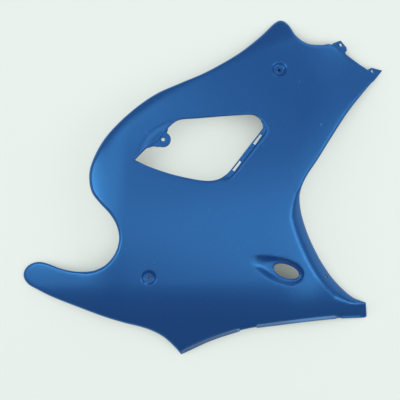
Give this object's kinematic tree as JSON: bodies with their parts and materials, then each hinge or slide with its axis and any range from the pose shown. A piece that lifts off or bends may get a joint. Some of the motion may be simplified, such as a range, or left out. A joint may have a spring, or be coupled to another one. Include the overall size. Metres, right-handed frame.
{
  "type": "motorcycle side panel",
  "caption": "Moulded right-hand side fairing panel with an air vent, an oval intake recess, a round rear cut-out, dished screw seats and front tabs.",
  "frame": {"origin": "middle of the outline, on the floor that the panel lies on hollow side down", "axes": "+X runs to the front end, +Y runs to the top edge, +Z points out of the painted face"},
  "size_m": [0.7174, 0.6678, 0.0949],
  "materials": {
    "painted_shell": "satin blue paint on moulded plastic"
  },
  "bodies": {
    "root": {"side_panel": "painted_shell"}
  },
  "joints": []
}
